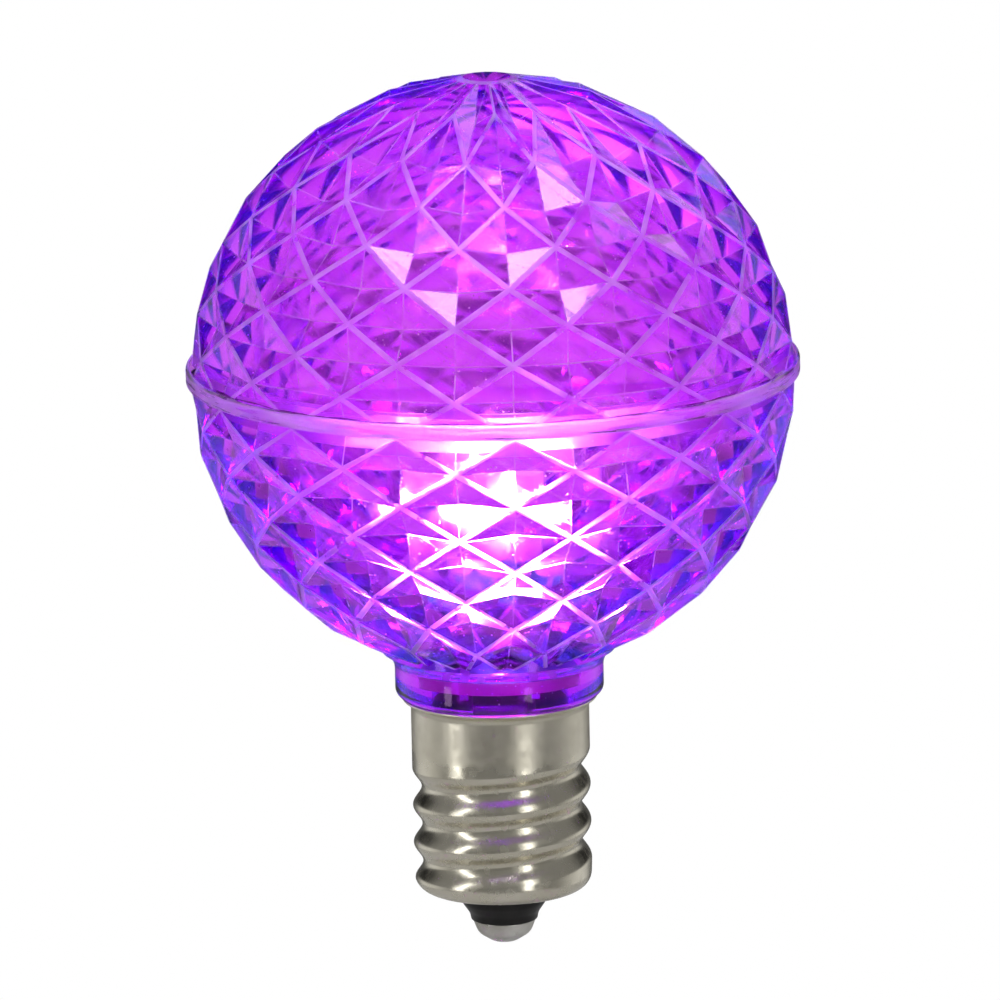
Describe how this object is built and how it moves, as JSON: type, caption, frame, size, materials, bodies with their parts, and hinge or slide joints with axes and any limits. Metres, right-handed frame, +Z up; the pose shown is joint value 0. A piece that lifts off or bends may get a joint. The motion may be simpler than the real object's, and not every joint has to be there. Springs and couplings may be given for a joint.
{
  "type": "light bulb",
  "caption": "Faceted globe light bulb: a hollow clear violet ball with recessed diamond facets on a small metal screw base, lit from inside by LEDs.",
  "frame": {"origin": "end of the tip contact, on the axis of the screw base", "axes": "+Z up along the bulb's axis, from the tip contact to the pole of the globe; front of the picture towards -Y"},
  "size_m": [0.0404, 0.0404, 0.0585],
  "materials": {
    "violet_plastic": "clear moulded plastic, polished facets",
    "nickel_plate": "satin nickel plate",
    "black_insulator": "satin black",
    "tinned_contact": "tinned, slightly rough",
    "board_laminate": "green laminate",
    "led_epoxy": "clear epoxy, lit",
    "tinned_wire": "tinned",
    "black_epoxy": "moulded epoxy",
    "resistor_coat": "lacquer coat"
  },
  "bodies": {
    "root": {"upper_dome": "violet_plastic", "lower_bowl": "violet_plastic", "screw_shell": "nickel_plate", "base_insulator": "black_insulator", "tip_contact": "tinned_contact", "circuit_board": "board_laminate", "led_1": "led_epoxy", "led_2": "led_epoxy", "led_3": "led_epoxy", "led_leads_1": "tinned_wire", "led_leads_2": "tinned_wire", "led_leads_3": "tinned_wire", "bridge_rectifier": "black_epoxy", "dropper_resistor": "resistor_coat", "resistor_leads": "tinned_wire", "shell_wire": "tinned_wire"}
  },
  "joints": []
}
